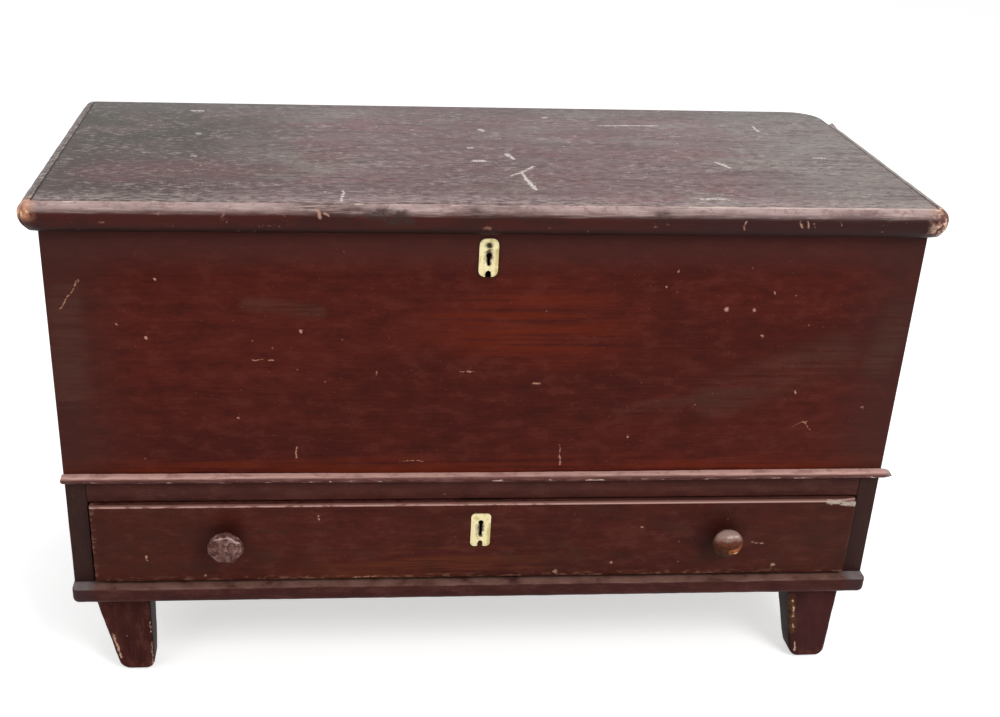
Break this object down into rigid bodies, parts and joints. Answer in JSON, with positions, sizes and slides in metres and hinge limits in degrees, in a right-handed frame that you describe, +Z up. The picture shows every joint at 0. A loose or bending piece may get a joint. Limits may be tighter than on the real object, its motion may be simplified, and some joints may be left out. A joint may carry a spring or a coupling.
{
  "type": "mule chest",
  "caption": "Painted wooden blanket chest with a hinged lid over a well, one long drawer below, turned knobs, brass key plates and tapered feet.",
  "frame": {"origin": "on the floor, under the middle of the whole chest's box", "axes": "+X to the right as one faces the drawer, +Y to the back, +Z up"},
  "size_m": [1.058, 0.4898, 0.6358],
  "materials": {
    "case_paint": "old oxblood paint on pine, worn and scratched",
    "lid_paint": "the same paint worn thin and grey",
    "back_wood": "unpainted pine, darkened with age",
    "bare_wood": "unpainted pine",
    "brass": "old brass, dull, with dark edges",
    "iron": "blackened iron"
  },
  "bodies": {
    "case": {"side_board_left": "case_paint", "side_board_right": "case_paint", "front_board": "case_paint", "drawer_rail": "case_paint", "waist_moulding": "case_paint", "base_board": "case_paint", "foot_front_left": "case_paint", "foot_front_right": "case_paint", "foot_back_left": "case_paint", "foot_back_right": "case_paint", "back_board_upper": "back_wood", "back_board_lower": "back_wood", "chest_floor": "bare_wood", "floor_ledger_left": "bare_wood", "floor_ledger_right": "bare_wood", "floor_ledger_back": "bare_wood", "drawer_runner_left": "bare_wood", "drawer_runner_right": "bare_wood", "drawer_stop_left": "bare_wood", "drawer_stop_right": "bare_wood", "chest_escutcheon": "brass", "chest_escutcheon_screw": "iron", "chest_lock_case": "iron", "chest_lock_screw_1": "iron", "chest_lock_screw_2": "iron", "hinge_left_case_leaf": "iron", "hinge_left_case_screw_1": "iron", "hinge_left_case_screw_2": "iron", "hinge_left_pin": "iron", "hinge_right_case_leaf": "iron", "hinge_right_case_screw_1": "iron", "hinge_right_case_screw_2": "iron", "hinge_right_pin": "iron"},
    "lid": {"lid_board": "lid_paint", "lid_moulding_front": "lid_paint", "lid_moulding_left": "lid_paint", "lid_moulding_right": "lid_paint", "lid_staple": "iron", "lid_staple_screw_1": "iron", "lid_staple_screw_2": "iron", "hinge_left_lid_leaf": "iron", "hinge_left_lid_screw_1": "iron", "hinge_left_lid_screw_2": "iron", "hinge_right_lid_leaf": "iron", "hinge_right_lid_screw_1": "iron", "hinge_right_lid_screw_2": "iron"},
    "drawer": {"drawer_front": "case_paint", "drawer_side_left": "bare_wood", "drawer_side_right": "bare_wood", "drawer_back": "bare_wood", "drawer_bottom": "bare_wood", "knob_left": "case_paint", "knob_right": "case_paint", "drawer_lock_case": "iron", "drawer_lock_screw_1": "iron", "drawer_lock_screw_2": "iron", "drawer_escutcheon": "brass"},
    "chest_bolt": {"chest_lock_bolt": "iron"},
    "drawer_bolt": {"drawer_lock_bolt": "iron"}
  },
  "joints": [
    {"name": "lid_hinge", "type": "hinge", "parent": "case", "child": "lid", "pos_m": [0, 0.2344, 0.61465], "axis": [-1, 0, 0], "range_deg": [0, 96]},
    {"name": "drawer_slide", "type": "slide", "parent": "case", "child": "drawer", "axis": [0, -1, 0], "range_m": [0, 0.33]},
    {"name": "chest_bolt_slide", "type": "slide", "parent": "case", "child": "chest_bolt", "axis": [-1, 0, 0], "range_m": [0, 0.008]},
    {"name": "drawer_bolt_slide", "type": "slide", "parent": "drawer", "child": "drawer_bolt", "axis": [0, 0, 1], "range_m": [0, 0.0075]}
  ]
}
